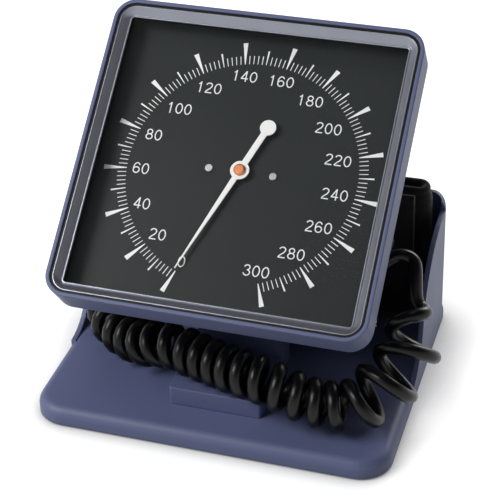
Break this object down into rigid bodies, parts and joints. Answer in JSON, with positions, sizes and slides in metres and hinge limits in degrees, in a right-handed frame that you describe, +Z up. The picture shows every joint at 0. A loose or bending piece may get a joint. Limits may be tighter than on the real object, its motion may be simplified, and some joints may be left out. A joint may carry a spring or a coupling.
{
  "type": "aneroid sphygmomanometer",
  "caption": "Desk-top aneroid blood pressure gauge: square tilting dial on a moulded stand with a coiled air tube, cuff and bulb stored in it",
  "frame": {"origin": "on the table, under the centre of the stand's plate", "axes": "+X to the viewer's right along the stand's width, +Y to the back, +Z up; the dial faces forward and up"},
  "size_m": [0.1939, 0.148, 0.1759],
  "materials": {
    "blue_plastic": "semi-gloss moulded",
    "silver_ring": "satin",
    "black_seal": "matt",
    "lens_glass": "clear",
    "dial_black": "matt",
    "white_paint": "satin",
    "copper": "polished",
    "brass": "polished",
    "steel": "turned",
    "chrome": "polished",
    "black_plastic": "moulded",
    "clear_plastic": "translucent",
    "tube_rubber": "glossy",
    "bulb_rubber": "satin",
    "bladder_rubber": "matt",
    "foot_rubber": "matt",
    "cuff_cloth": "woven",
    "patch_cloth": "looped",
    "washer_fibre": "matt",
    "blue_steel": "tempered"
  },
  "bodies": {
    "stand": {"stand_shell": "blue_plastic", "tilt_post": "blue_plastic", "post_screws": "steel", "rubber_feet": "foot_rubber", "cuff": "cuff_cloth", "bladder": "bladder_rubber", "bladder_ports": "bladder_rubber", "hook_patch": "patch_cloth", "tube_connector": "clear_plastic", "coiled_tube": "tube_rubber", "tube_tail": "tube_rubber", "bulb": "bulb_rubber", "intake_valve": "chrome", "release_valve_body": "chrome", "bulb_tube": "tube_rubber"},
    "gauge": {"rear_case": "blue_plastic", "front_bezel": "blue_plastic", "bezel_seal": "black_seal", "inner_rim": "silver_ring", "lens": "lens_glass", "lens_gasket": "black_seal", "dial_plate": "dial_black", "dial_screws": "steel", "case_screws": "steel", "tilt_bolt": "steel", "tilt_knob": "black_plastic", "friction_washers": "washer_fibre", "movement_base": "brass", "movement_bridge": "brass", "movement_pillars": "brass", "pillar_screws": "steel", "movement_screws": "steel", "pressure_capsule": "brass", "hairspring": "blue_steel", "inlet_fitting": "brass", "inner_tube": "tube_rubber", "tube_lead": "tube_rubber"},
    "pointer": {"pinion_spindle": "steel", "pointer": "white_paint", "pointer_cap": "copper"},
    "sector": {"sector_gear": "brass"},
    "rocker": {"rocking_shaft": "steel"},
    "capsule_head": {"capsule_pin": "steel"},
    "valve_needle": {"valve_needle": "brass"},
    "release_screw": {"release_screw": "chrome"}
  },
  "joints": [
    {"name": "gauge_tilt", "type": "hinge", "parent": "stand", "child": "gauge", "pos_m": [0, -0.0059, 0.0633], "axis": [1, 0, 0], "range_deg": [-10, 20], "deforming": ["tube_lead"]},
    {"name": "pointer_turn", "type": "hinge", "parent": "gauge", "child": "pointer", "pos_m": [0, -0.0035, 0.1164], "axis": [0, 0.6239, -0.7815], "range_deg": [0, 318.2], "stiffness_Nm_per_rad": 0.0002, "springref_deg": -17.19},
    {"name": "sector_turn", "type": "hinge", "parent": "gauge", "child": "sector", "pos_m": [0, -0.016, 0.10642], "axis": [0, -0.6239, 0.7815], "range_deg": [0, 36]},
    {"name": "rocker_turn", "type": "hinge", "parent": "gauge", "child": "rocker", "pos_m": [0, -0.00715, 0.09813], "axis": [1, 0, 0], "range_deg": [0, 24.5]},
    {"name": "capsule_lift", "type": "slide", "parent": "gauge", "child": "capsule_head", "axis": [0, -0.6239, 0.7815], "range_m": [0, 0.0019], "stiffness_N_per_m": 0.002, "springref_m": 0.568},
    {"name": "valve_travel", "type": "slide", "parent": "stand", "child": "valve_needle", "axis": [1, 0, 0], "range_m": [0, 0.00105]},
    {"name": "valve_turn", "type": "hinge", "parent": "valve_needle", "child": "release_screw", "pos_m": [0.056, 0.01979, 0.02999], "axis": [1, 0, 0], "range_deg": [0, 540]}
  ],
  "couplings": [
    {"joint": "sector_turn", "follows": "pointer_turn", "ratio": 0.11111},
    {"joint": "rocker_turn", "follows": "pointer_turn", "ratio": 0.0754},
    {"joint": "capsule_lift", "follows": "pointer_turn", "m_per_rad": 0.00033312},
    {"joint": "valve_travel", "follows": "valve_turn", "m_per_rad": 0.0001061}
  ]
}
